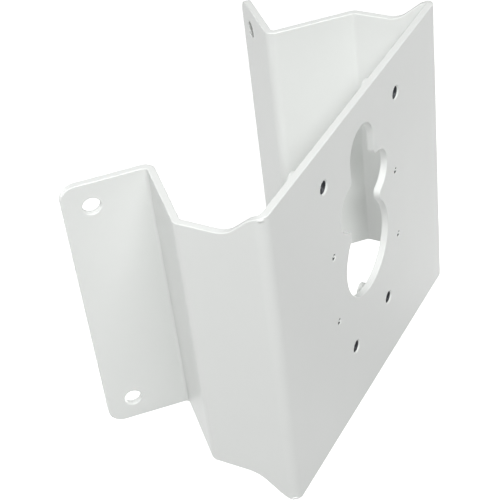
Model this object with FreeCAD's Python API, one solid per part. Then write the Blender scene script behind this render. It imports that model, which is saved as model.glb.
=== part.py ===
"""Corner bracket that carries a camera on the outside corner of a building.

One thick steel sheet is folded into a tall front plate, two side panels, two diagonals that
turn in towards the corner, and two flanges that lie on the walls. Four threaded bushes are
pressed through the front plate and stand out behind it.

Frame: X runs across the plate, Z up, and the walls are behind, towards +Y. The origin is the
centre of the plate's front face. Everything is symmetric about x = 0. Sizes are millimetres.
"""
import FreeCAD, Part
import math
import os

# Sheet and its folds. Lengths in plan run between the corners where the outer faces would meet.
sheet_thickness = 4.0
inside_bend_radius = 2.0
plate_width = 205.7
plate_height = 188.0
side_panel_depth = 49.6
diagonal_length = 48.6
diagonal_turn = 45.0
wall_flange_length = 45.0
wall_flange_turn = 90.0
wall_flange_corner_radius = 8.5

# The wings are lower than the plate by an S at each end: two arcs and a straight flank
shoulder_fall = 14.0
shoulder_radius = 16.6
shoulder_flank_angle = 40.7

# Cable opening in the plate: three lobes on the centre line, joined by straight-sided necks
top_lobe_radius = 14.0
top_lobe_z = 64.0
middle_lobe_radius = 13.0
middle_lobe_width = 58.4
middle_lobe_z = 38.4
neck_width = 36.0
bottom_lobe_radius = 26.5
bottom_lobe_z = 0.5
opening_corner_radius = 3.5

# Threaded bushes for the camera's arm: a wide pair above and a narrow pair below
upper_bush_spacing = 88.0
upper_bush_z = 71.2
lower_bush_spacing = 44.0
lower_bush_z = -51.4
bush_diameter = 9.6
bush_stand_out = 14.0
bush_thread_bore = 6.8
bush_mouth_diameter = 8.4
bush_end_chamfer = 0.5

# Small tapped holes round the opening
small_hole_spacing_x = 79.0
small_hole_spacing_z = 43.2
small_hole_centre_z = 2.9
small_hole_bore = 3.3
small_hole_mouth = 4.1

# Holes for the wall screws, near the free corners of each flange
wall_hole_diameter = 9.5
wall_hole_side_distance = 14.9
wall_hole_end_distance = 14.0

X_AXIS = FreeCAD.Vector(1, 0, 0)
Y_AXIS = FreeCAD.Vector(0, 1, 0)
Z_AXIS = FreeCAD.Vector(0, 0, 1)
ORIGIN = FreeCAD.Vector(0, 0, 0)

wing_height = plate_height - 2 * shoulder_fall
middle_bend_radius = inside_bend_radius + sheet_thickness / 2
outside_bend_radius = inside_bend_radius + sheet_thickness
plate_bend_run = middle_bend_radius * math.pi / 2
cut_margin = sheet_thickness

shoulder_flank = math.radians(shoulder_flank_angle)
shoulder_arc_run = shoulder_radius * math.sin(shoulder_flank)
shoulder_arc_fall = shoulder_radius * (1 - math.cos(shoulder_flank))
shoulder_flank_run = (shoulder_fall - 2 * shoulder_arc_fall) / math.tan(shoulder_flank)
shoulder_run = 2 * shoulder_arc_run + shoulder_flank_run


def heading(degrees):
    """Unit vector in plan, turned from +Y towards +X by the angle."""
    angle = math.radians(degrees)
    return FreeCAD.Vector(math.sin(angle), math.cos(angle), 0)


def right_of(direction):
    """Unit vector a quarter turn clockwise from the direction, seen from above."""
    return FreeCAD.Vector(direction.y, -direction.x, 0)


def unit(start, end):
    return (end - start).normalize()


def left_outer_corners():
    """Corners of the left half's outer side in plan, where its flat faces would meet.

    They run from the plate's left edge back to the free end of the wall flange.
    """
    runs = (
        (0.0, side_panel_depth),
        (diagonal_turn, diagonal_length),
        (diagonal_turn - wall_flange_turn, wall_flange_length),
    )
    corners = [X_AXIS * (-plate_width / 2)]
    for angle, length in runs:
        corners.append(corners[-1] + heading(angle) * length)
    return corners


def middle_corners():
    """Corners of the sheet's middle surface in plan, from the left free end to the right one."""
    left = left_outer_corners()
    outer = left[::-1] + [FreeCAD.Vector(-p.x, p.y, 0) for p in left]
    inward = [right_of(unit(a, b)) * -1 for a, b in zip(outer[:-1], outer[1:])]
    half = sheet_thickness / 2
    corners = [outer[0] + inward[0] * half]
    for corner, before, after in zip(outer[1:-1], inward[:-1], inward[1:]):
        between = before + after
        corners.append(corner + between * (half / between.dot(before)))
    corners.append(outer[-1] + inward[-1] * half)
    return corners


def sheet_side(corners, offset):
    """One side of the folded section: straight lines, and an arc about each fold's own axis."""
    edges = []
    at = corners[0] + right_of(unit(corners[0], corners[1])) * offset
    for before, corner, after in zip(corners[:-2], corners[1:-1], corners[2:]):
        into, out = unit(before, corner), unit(corner, after)
        half_turn = into.getAngle(out) / 2
        reach = middle_bend_radius * math.tan(half_turn)
        to_axis = (out - into).normalize()
        axis = corner + to_axis * (middle_bend_radius / math.cos(half_turn))
        first = corner - into * reach + right_of(into) * offset
        last = corner + out * reach + right_of(out) * offset
        crown = axis - to_axis * (first - axis).Length
        edges.append(Part.makeLine(at, first))
        edges.append(Part.Arc(first, crown, last).toShape())
        at = last
    end = corners[-1] + right_of(unit(corners[-2], corners[-1])) * offset
    edges.append(Part.makeLine(at, end))
    return edges


def sheet_section():
    """Face of the folded sheet seen from above, with one thickness all along."""
    corners = middle_corners()
    half = sheet_thickness / 2
    outer, inner = sheet_side(corners, half), sheet_side(corners, -half)
    caps = [
        Part.makeLine(outer[0].firstVertex().Point, inner[0].firstVertex().Point),
        Part.makeLine(outer[-1].lastVertex().Point, inner[-1].lastVertex().Point),
    ]
    edges = Part.sortEdges(outer + inner + caps)[0]
    return Part.Face(Part.Wire(edges))


def shoulder_depth(run):
    """Depth of the S under the plate's edge, at a run along the sheet's middle surface."""
    if run < shoulder_arc_run:
        return shoulder_radius - math.sqrt(shoulder_radius**2 - run**2)
    if run < shoulder_arc_run + shoulder_flank_run:
        return shoulder_arc_fall + (run - shoulder_arc_run) * math.tan(shoulder_flank)
    to_end = max(shoulder_run - run, 0.0)
    return shoulder_fall - shoulder_radius + math.sqrt(shoulder_radius**2 - to_end**2)


def wing_waste():
    """Cutter above both wings, behind the plate's folds, with the S as its foot in side view."""

    def at(run):
        y = outside_bend_radius - plate_bend_run + run
        return FreeCAD.Vector(0, y, plate_height / 2 - shoulder_depth(run))

    def arc(start, end):
        return Part.Arc(at(start), at((start + end) / 2), at(end)).toShape()

    flank_end = shoulder_arc_run + shoulder_flank_run
    back = left_outer_corners()[-1].y + sheet_thickness + cut_margin
    above = plate_height / 2 + cut_margin
    far_foot, far_top = FreeCAD.Vector(0, back, wing_height / 2), FreeCAD.Vector(0, back, above)
    rest = [at(shoulder_run), far_foot, far_top, FreeCAD.Vector(0, at(0).y, above), at(0)]
    foot = [
        arc(0, shoulder_arc_run),
        Part.makeLine(at(shoulder_arc_run), at(flank_end)),
        arc(flank_end, shoulder_run),
    ]
    outline = Part.Wire(foot + Part.makePolygon(rest).Edges)
    span = plate_width + 2 * wall_flange_length
    waste = Part.Face(outline).extrude(X_AXIS * span)
    waste.translate(X_AXIS * (-span / 2))
    before_fold_end = FreeCAD.Vector(-span / 2, outside_bend_radius - back, 0)
    return waste.cut(Part.makeBox(span, back, above, before_fold_end))


def fold_waste():
    """Cutter above the left plate fold, where the S begins.

    The blank is cut before it is folded, so its edge stays square to the sheet: each section
    lies in a plane through the fold's axis, and its foot follows the S.
    """
    axis = FreeCAD.Vector(outside_bend_radius - plate_width / 2, outside_bend_radius, 0)
    top = plate_height / 2
    inner, outer = inside_bend_radius / 2, outside_bend_radius + inside_bend_radius / 2
    sections = []
    steps = 6
    for i in range(steps + 1):
        angle = math.pi / 2 * i / steps
        outward = FreeCAD.Vector(-math.sin(angle), -math.cos(angle), 0)
        foot = top - shoulder_depth(middle_bend_radius * angle)
        heights = ((inner, foot), (outer, foot), (outer, top + cut_margin), (inner, top + cut_margin))
        points = [axis + outward * r + Z_AXIS * z for r, z in heights]
        sections.append(Part.makePolygon(points + points[:1]))
    return Part.makeLoft(sections, True, False)


def both_ends(shape):
    return [shape, shape.mirror(ORIGIN, Z_AXIS)]


def both_sides(shapes):
    return shapes + [shape.mirror(ORIGIN, X_AXIS) for shape in shapes]


def disc(radius, x, z):
    """Round face in front of the plate and parallel to it."""
    circle = Part.makeCircle(radius, FreeCAD.Vector(x, -cut_margin, z), Y_AXIS)
    return Part.Face(Part.Wire(circle))


def through_plate(radius, x, z):
    """Cylinder along Y that passes right through the plate."""
    return disc(radius, x, z).extrude(Y_AXIS * (sheet_thickness + 2 * cut_margin))


def panel(half_width, low_z, high_z):
    """Oblong face on the centre line, in front of the plate and parallel to it."""
    sides = ((-half_width, low_z), (-half_width, high_z), (half_width, high_z), (half_width, low_z))
    points = [FreeCAD.Vector(x, -cut_margin, z) for x, z in sides]
    return Part.Face(Part.makePolygon(points + points[:1]))


def cable_opening():
    """Cutter for the three-lobed opening.

    Growing its outline by the corner radius and shrinking it again rounds the plate's points
    between the lobes, and leaves the lobes as they are.
    """
    reach = middle_lobe_width / 2 - middle_lobe_radius
    outline = disc(top_lobe_radius, 0, top_lobe_z).multiFuse(
        [
            panel(top_lobe_radius, middle_lobe_z, top_lobe_z),
            disc(middle_lobe_radius, -reach, middle_lobe_z),
            disc(middle_lobe_radius, reach, middle_lobe_z),
            panel(reach, middle_lobe_z - middle_lobe_radius, middle_lobe_z + middle_lobe_radius),
            panel(neck_width / 2, bottom_lobe_z, middle_lobe_z),
            disc(bottom_lobe_radius, 0, bottom_lobe_z),
        ]
    )
    (outline,) = outline.removeSplitter().Faces
    rounded = outline.makeOffset2D(opening_corner_radius).makeOffset2D(-opening_corner_radius)
    return rounded.extrude(Y_AXIS * (sheet_thickness + 2 * cut_margin))


def bush_places():
    """Name and place of each bush in the plate."""
    rows = (
        ("upper", upper_bush_spacing, upper_bush_z),
        ("lower", lower_bush_spacing, lower_bush_z),
    )
    for row, spacing, z in rows:
        for side, sign in (("left", -1), ("right", 1)):
            yield f"threaded_bush_{row}_{side}", FreeCAD.Vector(sign * spacing / 2, 0, z)


def bush():
    """Round bush, flush with the plate's front face and long behind it.

    The thread is a plain bore of its core diameter, countersunk at both ends.
    """
    barrel, bore, mouth = bush_diameter / 2, bush_thread_bore / 2, bush_mouth_diameter / 2
    sink = mouth - bore
    end = sheet_thickness + bush_stand_out
    half_section = (
        (bore, sink),
        (mouth, 0),
        (barrel, 0),
        (barrel, end - bush_end_chamfer),
        (barrel - bush_end_chamfer, end),
        (mouth, end),
        (bore, end - sink),
    )
    points = [FreeCAD.Vector(r, y, 0) for r, y in half_section]
    return Part.Face(Part.makePolygon(points + points[:1])).revolve(ORIGIN, Y_AXIS, 360)


def small_tapped_hole():
    """Cutter for one small tapped hole, countersunk at both faces of the plate."""
    bore, mouth = small_hole_bore / 2, small_hole_mouth / 2
    half_section = (
        (0, -cut_margin),
        (mouth + cut_margin, -cut_margin),
        (bore, mouth - bore),
        (bore, sheet_thickness - mouth + bore),
        (mouth + cut_margin, sheet_thickness + cut_margin),
        (0, sheet_thickness + cut_margin),
    )
    points = [FreeCAD.Vector(r, y, 0) for r, y in half_section]
    return Part.Face(Part.makePolygon(points + points[:1])).revolve(ORIGIN, Y_AXIS, 360)


def upper_flange_tools():
    """Cutters for the left wall flange's upper free corner and its screw hole."""
    bend, end = left_outer_corners()[-2:]
    along = unit(bend, end)
    to_wall = right_of(along)
    through = to_wall * (sheet_thickness + 2 * cut_margin)
    corner = end - to_wall * cut_margin + Z_AXIS * (wing_height / 2)

    def at(inward, down):
        return corner - along * inward - Z_AXIS * down

    radius = wall_flange_corner_radius
    square = [
        at(radius, -cut_margin),
        at(-cut_margin, -cut_margin),
        at(-cut_margin, radius),
        at(radius, radius),
    ]
    block = Part.Face(Part.makePolygon(square + square[:1])).extrude(through)
    rounding = Part.makeCylinder(radius, through.Length, at(radius, radius), through)
    hole_at = at(wall_hole_side_distance, wall_hole_end_distance)
    hole = Part.makeCylinder(wall_hole_diameter / 2, through.Length, hole_at, through)
    return [block.cut(rounding), hole]


def bracket_sheet():
    """The folded sheet, with every cut that it had in the flat."""
    sheet = sheet_section().extrude(Z_AXIS * plate_height)
    sheet.translate(Z_AXIS * (-plate_height / 2))
    tools = both_ends(wing_waste()) + both_sides(both_ends(fold_waste()))
    for tool in upper_flange_tools():
        tools += both_sides(both_ends(tool))
    tools.append(cable_opening())
    for _, place in bush_places():
        tools.append(through_plate(bush_diameter / 2, place.x, place.z))
    for x in (-small_hole_spacing_x / 2, small_hole_spacing_x / 2):
        for z in (-small_hole_spacing_z / 2, small_hole_spacing_z / 2):
            tools.append(small_tapped_hole().translated(FreeCAD.Vector(x, 0, z + small_hole_centre_z)))
    return sheet.cut(tools)


def only_solid(shape):
    """The one valid solid in a shape, which a sound build always leaves."""
    solids = shape.Solids
    if len(solids) != 1 or not solids[0].isValid():
        raise ValueError(f"expected one valid solid, got {len(solids)}")
    return solids[0]


def main():
    os.makedirs("parts", exist_ok=True)
    nodes = {"bracket_sheet": bracket_sheet()}
    for name, place in bush_places():
        nodes[name] = bush().translated(place)
    for name, shape in nodes.items():
        only_solid(shape).exportStep(f"parts/{name}.step")


main()
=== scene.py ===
import bpy
import numpy as np
from mathutils import Matrix
from mathutils.geometry import delaunay_2d_cdt


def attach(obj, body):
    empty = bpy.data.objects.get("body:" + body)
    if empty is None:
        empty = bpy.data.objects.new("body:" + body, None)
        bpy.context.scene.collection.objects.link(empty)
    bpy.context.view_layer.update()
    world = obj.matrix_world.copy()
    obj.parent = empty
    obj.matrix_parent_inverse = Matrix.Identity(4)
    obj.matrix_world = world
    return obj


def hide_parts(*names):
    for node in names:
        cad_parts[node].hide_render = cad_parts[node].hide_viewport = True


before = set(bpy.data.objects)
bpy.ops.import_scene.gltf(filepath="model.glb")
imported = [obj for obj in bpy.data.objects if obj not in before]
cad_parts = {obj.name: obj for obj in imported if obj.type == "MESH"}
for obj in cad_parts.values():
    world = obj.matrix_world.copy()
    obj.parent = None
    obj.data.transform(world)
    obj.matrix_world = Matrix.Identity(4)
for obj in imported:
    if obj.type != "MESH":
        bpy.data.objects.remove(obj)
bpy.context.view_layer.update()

# The folded sheet. One 4 mm steel blank is cut with all its holes, deburred, folded six times
# and powder coated, so its section is even, its folds are true rounds, and every cut edge is a
# little soft. It is drawn here as that blank and then folded. Sizes are millimetres.
millimetre = 0.001
sheet_thickness = 4.0
inside_bend_radius = 2.0
edge_softness = 0.55
plate_width = 205.7
plate_height = 188.0
wing_height = 160.0
side_panel_depth = 49.6
diagonal_length = 48.6
wall_flange_length = 45.0
flange_corner_radius = 8.5
shoulder_radius = 16.6
shoulder_flank = 40.7
wall_hole_radius = 4.75
wall_hole_inset = 14.9
wall_hole_rise = 66.0
small_hole_bore = 1.65
small_hole_mouth = 2.05
small_hole_softness = 0.15
small_hole_places = [(-39.5, -18.7), (-39.5, 24.5), (39.5, -18.7), (39.5, 24.5)]
bush_radius = 4.8
bush_places = {
    "upper_left": (-44.0, 71.2),
    "upper_right": (44.0, 71.2),
    "lower_left": (-22.0, -51.4),
    "lower_right": (22.0, -51.4),
}

half_thickness = sheet_thickness / 2
middle_bend_radius = inside_bend_radius + half_thickness
outside_bend_radius = inside_bend_radius + sheet_thickness
same_place = 1e-4


def setback(radius, turn):
    """From a fold's corner to its start: the radius times the tangent of half the turn."""
    return radius * np.tan(abs(turn) / 2)


# Runs along the sheet's middle from the plate's centre line to a flange's free end: straight,
# fold, straight, fold, straight, fold, straight. A turn is to the left, seen from above.
turns = np.radians([0, 90, 0, 45, 0, -90, 0])
runs = middle_bend_radius * abs(turns)
runs[0] = plate_width / 2 - setback(outside_bend_radius, turns[1])
runs[2] = side_panel_depth - setback(outside_bend_radius, turns[1]) - setback(outside_bend_radius, turns[3])
runs[4] = diagonal_length - setback(outside_bend_radius, turns[3]) - setback(inside_bend_radius, turns[5])
runs[6] = wall_flange_length - setback(inside_bend_radius, turns[5])
run_starts = np.cumsum(runs) - runs
headings = np.cumsum(turns) - turns
curvatures = turns / runs
blank_half = runs.sum()


def advance(heading, curvature, length):
    """Step along a straight or an arc: its chord is the length times the sinc of half the turn,
    and points halfway between the first heading and the last."""
    half_turn = curvature * length / 2
    chord = length * np.sinc(half_turn / np.pi)
    return chord * np.cos(heading + half_turn), chord * np.sin(heading + half_turn)


def fold(across, up, lift):
    """Places, tangents and outer normals on the folded sheet for points of the flat blank.

    across is the run from the centre line and up the height. A point advances along its run
    from that run's start, then steps off at a right angle by lift, its height over the sheet's
    middle on the outer side.
    """
    side = np.where(across < 0, -1.0, 1.0)
    steps = np.stack(advance(headings, curvatures, runs), axis=1)
    starts = np.cumsum(steps, axis=0) - steps + (0, half_thickness)
    k = np.searchsorted(run_starts, abs(across), side="right") - 1
    along = abs(across) - run_starts[k]
    x, y = advance(headings[k], curvatures[k], along)
    angle = headings[k] + curvatures[k] * along
    flat = np.zeros_like(angle)
    tangent = np.stack([np.cos(angle), side * np.sin(angle), flat], axis=1)
    outer = np.stack([side * np.sin(angle), -np.cos(angle), flat], axis=1)
    middle = np.stack([side * (starts[k, 0] + x), starts[k, 1] + y, up], axis=1)
    return middle + outer * lift[:, None], tangent, outer


def arc(centre, radius, start, end, step=5.0):
    """Points on a circle from one angle to another in degrees, about one every step."""
    count = max(2, int(np.ceil(abs(end - start) / step)) + 1)
    angles = np.radians(np.linspace(start, end, count))
    return np.stack([centre[0] + radius * np.cos(angles), centre[1] + radius * np.sin(angles)], axis=1)


def closed(points):
    """The points as a loop, with those that repeat left out."""
    return points[np.linalg.norm(points - np.roll(points, 1, axis=0), axis=1) > same_place]


def fold_lines(facet=6):
    """Runs at which the sheet's faces are divided, one for every few degrees of each fold."""
    folds = np.flatnonzero(turns)
    counts = np.round(abs(np.degrees(turns[folds])) / facet).astype(int)
    return np.concatenate([run_starts[k] + np.linspace(0, runs[k], n + 1) for k, n in zip(folds, counts)])


def blank_outline():
    """The blank's edge, anticlockwise.

    A quarter is a flange corner, the wing's straight edge, the S of two arcs and a straight
    flank, and the plate's straight edge. The other three are its mirror images.
    """
    flank = np.radians(shoulder_flank)
    fall = (plate_height - wing_height) / 2
    arc_fall = shoulder_radius * (1 - np.cos(flank))
    s_run = 2 * shoulder_radius * np.sin(flank) + (fall - 2 * arc_fall) / np.tan(flank)
    s_end = runs[0] + s_run
    lower_centre = (s_end, wing_height / 2 + shoulder_radius)
    upper_centre = (runs[0], plate_height / 2 - shoulder_radius)
    corner = (blank_half - flange_corner_radius, wing_height / 2 - flange_corner_radius)
    lines = fold_lines()
    wing = lines[(lines > s_end) & (lines < corner[0])][::-1]
    quarter = np.vstack(
        [
            [[blank_half, 0]],
            arc(corner, flange_corner_radius, 0, 90),
            np.stack([wing, np.full_like(wing, wing_height / 2)], axis=1),
            arc(lower_centre, shoulder_radius, 270, 270 - shoulder_flank, step=3),
            arc(upper_centre, shoulder_radius, 90 - shoulder_flank, 90, step=3),
            [[0, plate_height / 2]],
        ]
    )
    upper = np.vstack([quarter, quarter[::-1] * (-1, 1)])
    return closed(np.vstack([upper, upper[::-1] * (1, -1)]))


def opening_outline():
    """The cable opening's edge, clockwise: three lobes and two necks.

    The plate's point between two of them is a small arc that touches both, so its centre lies
    its own radius outside each line and circle.
    """
    point_radius = 3.5
    top_radius, top_z = 14.0, 64.0
    lobe_radius, lobe_x, lobe_z = 13.0, 16.2, 38.4
    low_radius, low_z = 26.5, 0.5
    neck_half = 18.0
    neck = neck_half + point_radius
    shoulder = top_radius + point_radius
    climb = np.sqrt((lobe_radius + point_radius) ** 2 - (shoulder - lobe_x) ** 2)
    drop = np.sqrt((lobe_radius + point_radius) ** 2 - (neck - lobe_x) ** 2)
    rise = np.sqrt((low_radius + point_radius) ** 2 - neck**2)
    lobe_start = np.degrees(np.arctan2(climb, shoulder - lobe_x))
    lobe_end = np.degrees(np.arctan2(-drop, neck - lobe_x))
    low_start = np.degrees(np.arctan2(rise, neck))
    right = np.vstack(
        [
            arc((0, top_z), top_radius, 90, 0),
            arc((shoulder, lobe_z + climb), point_radius, 180, 180 + lobe_start, step=15),
            arc((lobe_x, lobe_z), lobe_radius, lobe_start, lobe_end),
            arc((neck, lobe_z - drop), point_radius, 180 + lobe_end, 180, step=15),
            arc((neck, low_z + rise), point_radius, 180, 180 + low_start, step=15),
            arc((0, low_z), low_radius, low_start, -90),
        ]
    )
    return closed(np.vstack([right, right[::-1] * (-1, 1)]))


def round_hole(place, radius):
    """A round hole's edge, clockwise."""
    return closed(arc(place, radius, 360, 0))


def both_faces(inset, lift, tilt):
    """A section from the outer face to the wall, joined to its mirror image in the sheet's middle."""
    return np.hstack([inset, inset[::-1]]), np.hstack([lift, -lift[::-1]]), np.hstack([tilt, -tilt[::-1]])


def plain_edge():
    """Section of a soft cut edge: set in from the wall, lift, and tilt of its direction out of
    the wall's. A quarter round joins each face to the wall."""
    tilt = np.radians(np.linspace(90, 0, 6))
    inset = edge_softness * (1 - np.cos(tilt))
    lift = half_thickness - edge_softness * (1 - np.sin(tilt))
    return both_faces(inset, lift, tilt)


def countersunk_edge(sink, softness, step=0.05):
    """Section of a countersunk edge, as above, with a step behind it where a thread begins.

    Half a quarter round leads from the face into the 45 degree slope, and meets the face a
    little outside the sharp mouth: by the softness times the tangent of 22.5 degrees.
    """
    tilt = np.radians(np.linspace(90, 45, 4))
    inset = softness * (np.tan(np.pi / 8) - np.cos(tilt))
    lift = half_thickness - softness * (1 - np.sin(tilt))
    inset = np.hstack([inset, -sink, 0])
    lift = np.hstack([lift, half_thickness - sink, half_thickness - sink - step])
    tilt = np.hstack([tilt, np.pi / 4, 0])
    return both_faces(inset, lift, tilt)


def hidden_edge():
    """Section of a square edge that a bush fills."""
    return np.zeros(2), np.array([half_thickness, -half_thickness]), np.radians([90, -90])


def outward(loop):
    """Unit directions out of the sheet along a loop that keeps it on its left: the mean of the
    two unit tangents at each point, turned a quarter turn to the right."""
    ahead = np.roll(loop, -1, axis=0) - loop
    ahead /= np.linalg.norm(ahead, axis=1)[:, None]
    tangent = ahead + np.roll(ahead, 1, axis=0)
    tangent /= np.linalg.norm(tangent, axis=1)[:, None]
    return np.stack([tangent[:, 1], -tangent[:, 0]], axis=1)


def inside(points, loop):
    """Whether each point lies in the loop: a level ray from it crosses the loop an odd number
    of times."""
    a, b = loop, np.roll(loop, -1, axis=0)
    px, pz = points[:, :1], points[:, 1:]
    straddles = (a[:, 1] > pz) != (b[:, 1] > pz)
    rise = np.where(b[:, 1] == a[:, 1], 1.0, b[:, 1] - a[:, 1])
    crossing = a[:, 0] + (pz - a[:, 1]) * (b[:, 0] - a[:, 0]) / rise
    return (straddles & (px < crossing)).sum(axis=1) % 2 == 1


def grid_faces(around, along, ring=False):
    """Quads of a grid of points whose first way round closes on itself, as the second does too
    in a ring."""
    j, k = np.meshgrid(np.arange(around), np.arange(along - 1 + ring), indexing="ij")
    here, there = j * along, (j + 1) % around * along
    ahead = (k + 1) % along
    return np.stack([here + k, here + ahead, there + ahead, there + k], axis=2).reshape(-1, 4)


def folded_sheet():
    """The sheet's mesh: a band round each edge, which carries its section along its loop, and
    two faces between the bands' first and last rings, cut into triangles on the flat blank."""
    soft = plain_edge()
    small = countersunk_edge(small_hole_mouth - small_hole_bore, small_hole_softness)
    hole_run = blank_half - wall_hole_inset
    wall_holes = [(s * hole_run, up) for s in (-1, 1) for up in (-wall_hole_rise, wall_hole_rise)]
    edges = [(blank_outline(), soft), (opening_outline(), soft)]
    edges += [(round_hole(place, wall_hole_radius), soft) for place in wall_holes]
    edges += [(round_hole(place, small_hole_mouth), small) for place in small_hole_places]
    edges += [(round_hole(place, bush_radius), hidden_edge()) for place in bush_places.values()]
    flat, lifts, in_plane, along_normal, quads, fronts, backs = [], [], [], [], [], [], []
    base = 0
    for loop, (inset, lift, tilt) in edges:
        around, along, away = len(loop), len(inset), outward(loop)
        flat.append((loop[:, None] - away[:, None] * inset[:, None]).reshape(-1, 2))
        lifts.append(np.tile(lift, around))
        in_plane.append((away[:, None] * np.cos(tilt)[:, None]).reshape(-1, 2))
        along_normal.append(np.tile(np.sin(tilt), around))
        quads.append(base + grid_faces(around, along))
        fronts.append(base + np.arange(around) * along)
        backs.append(fronts[-1] + along - 1)
        base += around * along
    flat, lifts = np.vstack(flat), np.hstack(lifts)

    # Each fold line stops just short of the blank's edge, and the triangles fill what is left
    line_gap = 0.4
    lines = fold_lines()
    lines = np.hstack([-lines[::-1], lines])
    rim = flat[fronts[0]]
    rim = rim[(rim[:, 0] > 0) & (rim[:, 1] > wing_height / 2 - 2 * edge_softness)]
    rim = rim[np.argsort(rim[:, 0])]
    heights = np.interp(abs(lines), rim[:, 0], rim[:, 1]) - line_gap
    ends = np.stack([np.repeat(lines, 2), np.stack([-heights, heights], axis=1).ravel()], axis=1)
    points = np.vstack([flat[ring] for ring in fronts] + [ends])
    borders, start = [], 0
    for ring in fronts:
        numbers = start + np.arange(len(ring))
        borders.append(np.stack([numbers, np.roll(numbers, -1)], axis=1))
        start += len(ring)
    borders.append(start + np.arange(len(ends)).reshape(-1, 2))
    borders = np.vstack(borders).tolist()
    as_triangles, nearest = 0, 1e-7
    _, _, triangles, origins, _, _ = delaunay_2d_cdt(points.tolist(), borders, [], as_triangles, nearest)
    triangles = np.array(origins)[:, 0][np.array(triangles)]
    centres = points[triangles].mean(axis=1)
    kept = inside(centres, flat[fronts[0]])
    for ring in fronts[1:]:
        kept &= ~inside(centres, flat[ring])
    triangles = triangles[kept]

    line_ends = len(flat) + np.arange(len(ends))
    front = np.hstack(fronts + [line_ends])
    back = np.hstack(backs + [line_ends + len(ends)])
    ones = np.ones(len(ends))
    flat = np.vstack([flat, ends, ends])
    lifts = np.hstack([lifts, half_thickness * ones, -half_thickness * ones])
    in_plane = np.vstack(in_plane + [np.zeros((2 * len(ends), 2))])
    along_normal = np.hstack(along_normal + [ones, -ones])
    places, tangents, outer = fold(flat[:, 0], flat[:, 1], lifts)
    normals = tangents * in_plane[:, :1] + outer * along_normal[:, None]
    normals[:, 2] += in_plane[:, 1]
    faces = np.vstack(quads).tolist() + front[triangles].tolist() + back[triangles[:, ::-1]].tolist()
    return places, normals, faces


def put_mesh(name, places, faces, normals=None):
    """A smooth-shaded piece from places in millimetres, with its own normals if they are given."""
    mesh = bpy.data.meshes.new(name)
    mesh.from_pydata((np.asarray(places) * millimetre).tolist(), [], faces)
    mesh.polygons.foreach_set("use_smooth", np.ones(len(mesh.polygons), dtype=bool))
    if normals is not None:
        mesh.normals_split_custom_set_from_vertices(normals.tolist())
    mesh.update()
    piece = bpy.data.objects.new(name, mesh)
    bpy.context.scene.collection.objects.link(piece)
    return piece


def colour(code):
    """Linear colour of an sRGB hex value: each part over 12.92 near black, and otherwise its
    sum with 0.055 over 1.055 to the power 2.4."""
    parts = np.array([int(code[i : i + 2], 16) for i in (1, 3, 5)]) / 255
    linear = np.where(parts <= 0.04045, parts / 12.92, ((parts + 0.055) / 1.055) ** 2.4)
    return (*linear.tolist(), 1.0)


def new_finish(name):
    """A new material, its node tree and its shader."""
    material = bpy.data.materials.new(name)
    material.use_nodes = True
    return material, material.node_tree, material.node_tree.nodes["Principled BSDF"]


def add(tree, kind, links=(), **settings):
    """A node of the kind, with settings on its own properties or its inputs, and links given as
    (input, output) pairs."""
    node = tree.nodes.new(kind)
    for key, value in settings.items():
        if hasattr(node, key):
            setattr(node, key, value)
        else:
            node.inputs[key.replace("_", " ")].default_value = value
    for name, output in links:
        tree.links.new(output, node.inputs[name])
    return node


def powder_coat():
    """White polyester powder coat, sprayed on and baked. It is a half-gloss film with a fine
    orange peel, waves about 2 mm apart and a few microns high, and a finer grain between them.
    Its shade wanders a little over 35 mm. Each noise's scale is its waves in a metre."""
    material, tree, shader = new_finish("white_powder_coat")
    shader.inputs["IOR"].default_value = 1.5
    place = add(tree, "ShaderNodeTexCoord").outputs["Object"]
    peel = add(tree, "ShaderNodeTexNoise", [("Vector", place)], Scale=500.0, Detail=2.0, Roughness=0.5)
    grain = add(tree, "ShaderNodeTexNoise", [("Vector", place)], Scale=2200.0, Detail=1.0)
    cloud = add(tree, "ShaderNodeTexNoise", [("Vector", place)], Scale=28.0, Detail=3.0)
    tint = add(tree, "ShaderNodeMix", [("Factor", cloud.outputs["Fac"])], data_type="RGBA")
    tint.inputs["A"].default_value = colour("#dbdddb")
    tint.inputs["B"].default_value = colour("#dee0de")
    gloss = add(tree, "ShaderNodeMapRange", [("Value", grain.outputs["Fac"])], To_Min=0.36, To_Max=0.46)
    waves = [(0, peel.outputs["Fac"]), (1, grain.outputs["Fac"])]
    height = add(tree, "ShaderNodeMath", waves, operation="ADD")
    bump = add(tree, "ShaderNodeBump", [("Height", height.outputs[0])], Strength=0.25, Distance=0.00002)
    tree.links.new(tint.outputs["Result"], shader.inputs["Base Color"])
    tree.links.new(gloss.outputs["Result"], shader.inputs["Roughness"])
    tree.links.new(bump.outputs["Normal"], shader.inputs["Normal"])
    return material


places, normals, faces = folded_sheet()
sheet = put_mesh("folded_sheet", places, faces, normals)
coat = powder_coat()
sheet.data.materials.append(coat)
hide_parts("bracket_sheet")
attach(sheet, "root")

# The lips at the plate's folds. Where a 4 mm sheet is folded this tightly, the press leaves a low
# swelling on the outside of the fold, just under its cut end. It is the sheet's own steel, coated
# with it, and shows as a light spot over a thin shade.
lip_size = (1.7, 0.8, 0.4)
lip_drop = 1.2
lip_run = 0.6 * runs[1]


def shoulder_depth(run):
    """How far the first arc of the S has fallen at a run from the fold's start."""
    return shoulder_radius - np.sqrt(shoulder_radius**2 - run**2)


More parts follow.
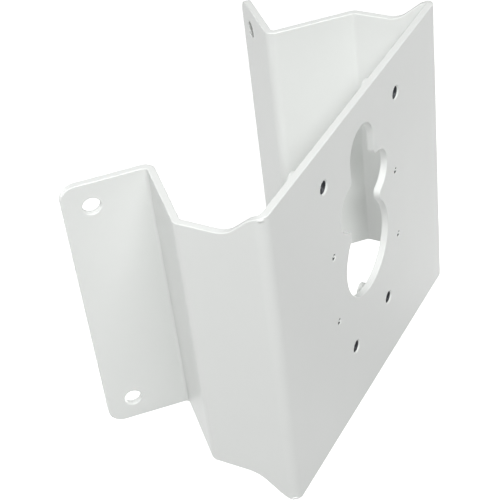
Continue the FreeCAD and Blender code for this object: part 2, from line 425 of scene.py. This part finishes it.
def bead(name, centre, directions, sizes):
    """An ellipsoid: a unit ball's points times its half sizes, laid along three unit directions.

    The ball is a grid of longitude by latitude with one more point at each pole. Its normals
    are the points divided by the half sizes.
    """
    step = 15
    around, rings = 360 // step, 180 // step - 1
    longitude = np.radians(np.arange(around) * step)[:, None]
    latitude = np.radians(np.arange(1, rings + 1) * step - 90)[None, :]
    level = np.cos(latitude)
    height = np.sin(latitude) * np.ones_like(longitude)
    grid = np.stack([level * np.cos(longitude), level * np.sin(longitude), height], axis=2)
    ball = np.vstack([grid.reshape(-1, 3), (0, 0, -1), (0, 0, 1)])
    normals = ball / sizes
    normals /= np.linalg.norm(normals, axis=1)[:, None]
    west = np.arange(around) * rings
    east = np.roll(west, -1)
    south, north = np.full(around, len(ball) - 2), np.full(around, len(ball) - 1)
    faces = grid_faces(around, rings)[:, ::-1].tolist()
    faces += np.stack([south, east, west], axis=1).tolist()
    faces += np.stack([west + rings - 1, east + rings - 1, north], axis=1).tolist()
    if np.linalg.det(directions) < 0:
        faces = [face[::-1] for face in faces]
    return put_mesh(name, centre + ball * sizes @ directions, faces, normals @ directions)


lip_rise = plate_height / 2 - shoulder_depth(lip_run) - lip_drop
for side, side_name in ((-1, "left"), (1, "right")):
    for end, end_name in ((-1, "lower"), (1, "upper")):
        run = np.array([side * (runs[0] + lip_run)])
        surface, along, out = (v[0] for v in fold(run, np.zeros(1), np.array([half_thickness])))
        directions = np.stack([along, (0, 0, 1), out])
        lip_centre = surface + (0, 0, end * lip_rise)
        lip = bead(f"fold_lip_{end_name}_{side_name}", lip_centre, directions, lip_size)
        lip.data.materials.append(coat)
        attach(lip, "root")

# The threaded bushes. Four turned steel barrels are pressed through the plate, flush with its
# front, where the coat runs over the joint. Behind, they stand out for the length of a screw,
# with coat on the barrel and a little gathered round its foot.
bush_length = 18.0
bush_bore = 3.4
bush_mouth = 4.2
bush_sink = bush_mouth - bush_bore
bush_ledge = 0.9
bush_softness = 0.3
bush_thread_root = 4.0
bush_thread_pitch = 1.25
bush_thread_start = 0.85
bush_inner_wall = bush_thread_root + 0.05
coat_gather = 0.5
end_taper = 0.4
end_taper_length = 0.5


def rounded_profile(corners, radii, step=15.0):
    """A profile of straights with each corner cut by an arc that touches both of its sides.

    The arc starts its radius times the tangent of half the turn before the corner, and each
    next chord turns by the same step. Gives points and unit normals to the profile's right.
    """
    ahead = np.diff(corners, axis=0)
    ahead /= np.linalg.norm(ahead, axis=1)[:, None]
    angles = np.unwrap(np.arctan2(ahead[:, 1], ahead[:, 0]))
    points, directions = [corners[:1]], [angles[:1]]
    for corner, before, after, radius in zip(corners[1:-1], angles[:-1], angles[1:], radii):
        turn = after - before
        count = max(2, int(np.ceil(abs(np.degrees(turn)) / step)) + 1)
        headed = np.linspace(before, after, count)
        start = corner - setback(radius, turn) * np.array([np.cos(before), np.sin(before)])
        side = np.sign(turn) * radius
        x = start[0] + side * (np.sin(headed) - np.sin(before))
        y = start[1] - side * (np.cos(headed) - np.cos(before))
        points.append(np.stack([x, y], axis=1))
        directions.append(headed)
    points, directions = np.vstack(points + [corners[-1:]]), np.hstack(directions + [angles[-1:]])
    return points, np.stack([np.sin(directions), -np.cos(directions)], axis=1)


def spun(radius, depth, theta):
    """Points at a radius and a depth turned by an angle about an axis along Y: the radius times
    the cosine, the depth, and the radius times the sine."""
    depth = depth * np.ones_like(theta)
    return np.stack([radius * np.cos(theta), depth, radius * np.sin(theta)], axis=2).reshape(-1, 3)


def turned(name, place, profile, around=64):
    """A closed profile of (radius, depth) points spun about a hole's axis. Points that repeat at
    a sharp corner have no face between them."""
    points, normals = profile
    theta = np.linspace(0, 2 * np.pi, around, endpoint=False)[:, None]
    places = spun(points[:, 0], points[:, 1], theta) + (place[0], 0, place[1])
    tilts = spun(normals[:, 0], normals[:, 1], theta)
    apart = np.linalg.norm(np.roll(points, -1, axis=0) - points, axis=1) > same_place
    faces = grid_faces(around, len(points), ring=True).reshape(around, -1, 4)[:, apart]
    return put_mesh(name, places, faces.reshape(-1, 4).tolist(), tilts)


def thread(name, place, crest, root, pitch, start, length, around=48):
    """A tapped thread in a hole of a given length, which starts a little inside both ends.

    The depth of its groove at a point is a triangle wave of depth over pitch plus the share of
    a turn, clipped to a flat crest of a quarter pitch and a flat root of an eighth. A plain
    wall just outside the root closes it.
    """
    steps, flat_crest, flat_root, backing = 14, 0.25, 0.125, 0.03
    end = length - start
    share = np.arange(around)[:, None] / around
    depth = np.linspace(start, end, int((end - start) / pitch * steps) + 1)[None, :]
    wave = 1 - 2 * abs((depth / pitch + share) % 1 - 0.5)
    groove = np.clip((wave - flat_crest) / (1 - flat_crest - flat_root), 0, 1)
    radius = np.hstack([crest + (root - crest) * groove, np.full((around, 2), root + backing)])
    depth = np.hstack([depth, [[end, start]]])
    places = spun(radius, depth, 2 * np.pi * share) + (place[0], 0, place[1])
    faces = grid_faces(around, depth.shape[1], ring=True)[:, ::-1]
    return put_mesh(name, places, faces.tolist())


def shaded_thread_finish():
    """Steel cut by a tap and kept clear of the coat by a plug. Its flanks are smooth, and both its
    tones are set far darker than steel's own: painted shade, so that a hole looks dark, with grey
    glints along the thread. The tool's marks are a third of a millimetre apart."""
    material, tree, shader = new_finish("cut_steel_painted_shade")
    shader.inputs["Metallic"].default_value = 1.0
    place = add(tree, "ShaderNodeTexCoord").outputs["Object"]
    marks = add(tree, "ShaderNodeTexNoise", [("Vector", place)], Scale=3000.0, Detail=2.0)
    tint = add(tree, "ShaderNodeMix", [("Factor", marks.outputs["Fac"])], data_type="RGBA")
    # Both tones are far darker than cut steel: painted shade for the dark depth of the holes
    tint.inputs["A"].default_value = colour("#4c4e51")
    tint.inputs["B"].default_value = colour("#707275")
    rough = add(tree, "ShaderNodeMapRange", [("Value", marks.outputs["Fac"])], To_Min=0.25, To_Max=0.45)
    tree.links.new(tint.outputs["Result"], shader.inputs["Base Color"])
    tree.links.new(rough.outputs["Result"], shader.inputs["Roughness"])
    return material


# Each row is a corner's radius and depth, and the rounding there
bush_corners = np.array(
    [
        (bush_inner_wall, bush_ledge, 0.0),
        (bush_bore, bush_sink, 0.05),
        (bush_mouth, 0.0, bush_softness),
        (bush_radius, 0.0, 0.0),
        (bush_radius, sheet_thickness, 0.0),
        (bush_radius + coat_gather, sheet_thickness, 0.0),
        (bush_radius, sheet_thickness + coat_gather, 0.1),
        (bush_radius, bush_length - end_taper_length, 0.3),
        (bush_radius - end_taper, bush_length, 0.2),
        (bush_mouth, bush_length, 0.2),
        (bush_bore, bush_length - bush_sink, 0.1),
        (bush_inner_wall, bush_length - bush_ledge, 0.0),
    ]
)
bush_profile = rounded_profile(bush_corners[:, :2], bush_corners[1:-1, 2])
# The threads' steel is darkened as painted shade for the holes' depth
steel = shaded_thread_finish()
for name, place in bush_places.items():
    barrel = turned(f"bush_barrel_{name}", place, bush_profile)
    barrel.data.materials.append(coat)
    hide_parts(f"threaded_bush_{name}")
    screw = (bush_bore, bush_thread_root, bush_thread_pitch, bush_thread_start, bush_length)
    cut = thread(f"bush_thread_{name}", place, *screw)
    cut.data.materials.append(steel)
    for piece in (barrel, cut):
        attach(piece, "root")

# The small tapped holes. Four screws for a light arm or a box go into threads cut straight in
# the plate. They are plugged while it is coated, so the steel shows inside. A small white bead
# of coat stands in each mouth as a painted highlight, in place of a glint on the thread.
small_thread_root = 2.0
small_thread_pitch = 0.7
small_thread_start = 0.42
# Half sizes and place of the white bead in each mouth, a painted highlight for a thread's glint
glint_drop_size = (1.0, 0.4, 0.36)
glint_drop_offset = (0.85, 0.55, -0.15)
for i, (x, z) in enumerate(small_hole_places, 1):
    screw = (small_hole_bore, small_thread_root, small_thread_pitch, small_thread_start, sheet_thickness)
    cut = thread(f"small_thread_{i}", (x, z), *screw, around=32)
    cut.data.materials.append(steel)
    # The white bead is a painted highlight, not coat that is really there
    drop = bead(f"painted_glint_drop_{i}", np.array((x, 0, z)) + glint_drop_offset, np.eye(3), glint_drop_size)
    drop.data.materials.append(coat)
    for piece in (cut, drop):
        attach(piece, "root")


# The studio. The bracket hangs clear over a pale floor, as on its wall, among seven square soft
# boxes: a small key near the camera, a broad one above, and five weak ones that fill its sides
# and hollows. The floor and the air round it are white to the camera, and to what is glossy.
def seen(tree):
    """1 where the camera, a reflection or a clear material looks, and 0 for light on matt paint:
    the greatest of the three ray kinds."""
    path = add(tree, "ShaderNodeLightPath").outputs
    greatest = path["Is Camera Ray"]
    for kind in ("Is Glossy Ray", "Is Transmission Ray"):
        pair = [(0, greatest), (1, path[kind])]
        greatest = add(tree, "ShaderNodeMath", pair, operation="MAXIMUM").outputs[0]
    return greatest


def lit_floor(tone, lift):
    """Matt floor paint that takes the object's shadow. Where it is seen, a little is added to
    what the lamps give it, so that open floor is white and the shadow still shows."""
    material, tree, shader = new_finish("white_floor")
    shader.inputs["Base Color"].default_value = colour(tone)
    shader.inputs["Roughness"].default_value = 1.0
    shader.inputs["Specular IOR Level"].default_value = 0.0
    shader.inputs["Emission Color"].default_value = colour("#ffffff")
    shown = add(tree, "ShaderNodeMath", [(0, seen(tree))], operation="MULTIPLY")
    shown.inputs[1].default_value = lift
    tree.links.new(shown.outputs[0], shader.inputs["Emission Strength"])
    return material


floor_level = -600.0
floor_reach = 3000.0
floor_corners = floor_reach * np.array([(-1, -1), (1, -1), (1, 1), (-1, 1)])
floor = put_mesh("floor", np.hstack([floor_corners, np.full((4, 1), floor_level)]), [(0, 1, 2, 3)])
floor.data.materials.append(lit_floor("#c8c9c8", 0.93))

world = bpy.data.worlds.new("studio")
bpy.context.scene.world = world
world.use_nodes = True
air = world.node_tree.nodes["Background"]
air.inputs["Color"].default_value = colour("#ffffff")
world.node_tree.links.new(seen(world.node_tree), air.inputs["Strength"])


def level_and_up(away):
    """Two unit directions square to a third: the vertical crossed with it, which is level, and
    then it crossed with that one."""
    level = np.cross((0, 0, 1), away)
    level /= np.linalg.norm(level)
    return level, np.cross(away, level)


def stand(piece, place, right, up, away):
    """Puts a lamp or a camera in the scene, at a place in metres, by its own three directions."""
    matrix = np.eye(4)
    matrix[:3] = np.stack([right, up, away, place], axis=1)
    piece.matrix_world = Matrix(matrix.tolist())
    bpy.context.scene.collection.objects.link(piece)


# Each lamp's place and width in metres, and its watts
lamp_aim = (0.0, 0.06, 0.0)
soft_boxes = {
    "key": ((-1.30, -0.95, 1.46), 0.3, 22.5),
    "upper": ((-0.51, -0.80, 1.96), 1.0, 36.5),
    "left": ((-0.69, 0.24, 0.55), 0.4, 1.3),
    "back_left": ((-0.60, 0.73, 0.08), 0.4, 2.3),
    "back": ((0.00, 1.65, 0.14), 0.8, 5.5),
    "low_right": ((0.61, 0.06, -0.35), 0.4, 1.9),
    "table": ((0.12, -0.20, -0.30), 0.15, 0.04),
}
for name, (place, width, power) in soft_boxes.items():
    lamp = bpy.data.lights.new(name, "AREA")
    lamp.size = width
    lamp.energy = power
    away = np.array(place) - np.array(lamp_aim)
    away = away / np.linalg.norm(away)
    stand(bpy.data.objects.new(name, lamp), place, *level_and_up(away), away)

# The camera. It looks down on the bracket from its left front at 40 degrees, rolled a little,
# through a long lens whose axis is a little below the picture's middle. Its focal length and
# the row of its axis are in the picture's own pixels.
camera_place = np.array([-540.68, -264.91, 482.41]) * millimetre
azimuth, elevation, roll = 1.0073, 0.6905, -0.1345
focal_pixels = 1445.03
axis_row = 282.92
picture_size = 500
away = np.array(
    [-np.cos(elevation) * np.sin(azimuth), -np.cos(elevation) * np.cos(azimuth), np.sin(elevation)]
)
level, upright = level_and_up(away)
right = np.cos(roll) * level + np.sin(roll) * upright
top = np.cos(roll) * upright - np.sin(roll) * level
lens = bpy.data.cameras.new("camera")
lens.sensor_width = 36.0
lens.lens = lens.sensor_width * focal_pixels / picture_size
lens.shift_y = (axis_row - picture_size / 2) / picture_size
camera = bpy.data.objects.new("camera", lens)
stand(camera, camera_place, right, top, away)
bpy.context.scene.camera = camera
bpy.context.scene.view_settings.view_transform = "Standard"
